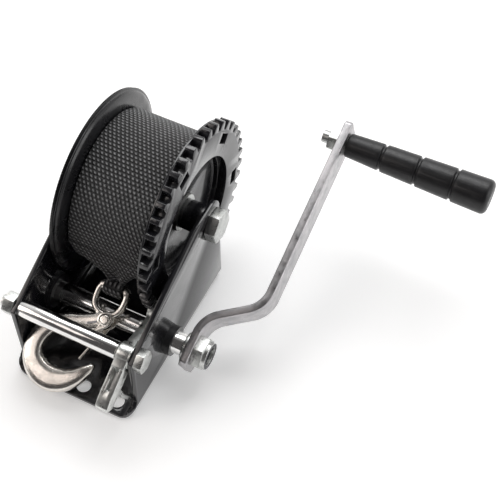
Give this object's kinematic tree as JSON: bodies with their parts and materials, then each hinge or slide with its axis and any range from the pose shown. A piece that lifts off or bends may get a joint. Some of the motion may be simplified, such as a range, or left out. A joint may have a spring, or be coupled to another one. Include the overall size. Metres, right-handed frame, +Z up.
{
  "type": "boat trailer winch",
  "caption": "Hand-cranked geared strap winch on a bent steel bracket, with a webbing drum, a two-way ratchet pawl and a latched snap hook.",
  "frame": {"origin": "centre of the base's underside, midway between the cheeks and between the base's front and rear edges", "axes": "+X along the drum and crank axles towards the crank, +Y to the rear, away from the tie bolt, +Z up from the mounting face"},
  "size_m": [0.2414, 0.2253, 0.13],
  "materials": {
    "black_paint": "gloss",
    "core_steel": "satin",
    "zinc": "zinc plated",
    "zinc_bar": "zinc plated",
    "bright_tube": "polished",
    "hook_zinc": "bright zinc plated",
    "spring_steel": "satin",
    "bush": "oil black",
    "nylon": "satin",
    "webbing": "woven",
    "grip_plastic": "satin"
  },
  "bodies": {
    "frame": {"frame_bracket": "black_paint", "axle_bolt": "zinc", "axle_nut": "zinc", "axle_washers": "zinc", "axle_spacers": "black_paint", "tie_bolt": "zinc", "tie_nut": "zinc", "tie_tube": "bright_tube", "pawl_washer": "zinc", "shaft_bushes": "bush", "strap_tail": "webbing"},
    "drum": {"drum_gear": "black_paint", "right_flange": "black_paint", "left_flange": "black_paint", "drum_core": "core_steel", "core_bushes": "nylon", "strap_pin": "zinc", "strap_roll": "webbing"},
    "crank": {"drive_shaft": "zinc", "pinion": "zinc", "ratchet_wheel": "zinc", "shaft_circlip": "spring_steel", "crank_washer": "zinc", "crank_arm": "zinc_bar", "crank_nut": "zinc", "grip_bolt": "zinc", "grip_nut": "zinc"},
    "grip": {"grip": "grip_plastic", "grip_cap": "grip_plastic"},
    "pawl": {"pawl": "zinc"},
    "hook": {"hook": "hook_zinc", "hook_rivet": "hook_zinc", "latch_spring": "spring_steel"},
    "latch": {"latch": "hook_zinc"}
  },
  "joints": [
    {"name": "drum_spin", "type": "hinge", "parent": "frame", "child": "drum", "pos_m": [0, 0.05, 0.068], "axis": [1, 0, 0], "continuous": true},
    {"name": "crank_spin", "type": "hinge", "parent": "frame", "child": "crank", "pos_m": [0, -0.00924, 0.022], "axis": [1, 0, 0], "continuous": true},
    {"name": "grip_spin", "type": "hinge", "parent": "crank", "child": "grip", "pos_m": [0.138, 0.13689, 0.07518], "axis": [1, 0, 0], "continuous": true},
    {"name": "pawl_rock", "type": "hinge", "parent": "frame", "child": "pawl", "pos_m": [0.0327, -0.043, 0.05], "axis": [1, 0, 0], "range_deg": [-6.5, 6.5]},
    {"name": "hook_swing", "type": "hinge", "parent": "frame", "child": "hook", "pos_m": [0.0015, -0.00225, 0.04159], "axis": [-1, 0, 0], "range_deg": [0, 22]},
    {"name": "latch_swing", "type": "hinge", "parent": "hook", "child": "latch", "pos_m": [0.0055, -0.02007, 0.03251], "axis": [0, 0.454, -0.891], "range_deg": [0, 20], "stiffness_Nm_per_rad": 0.02, "springref_deg": -11.46}
  ],
  "couplings": [
    {"joint": "crank_spin", "follows": "drum_spin", "ratio": -4}
  ]
}
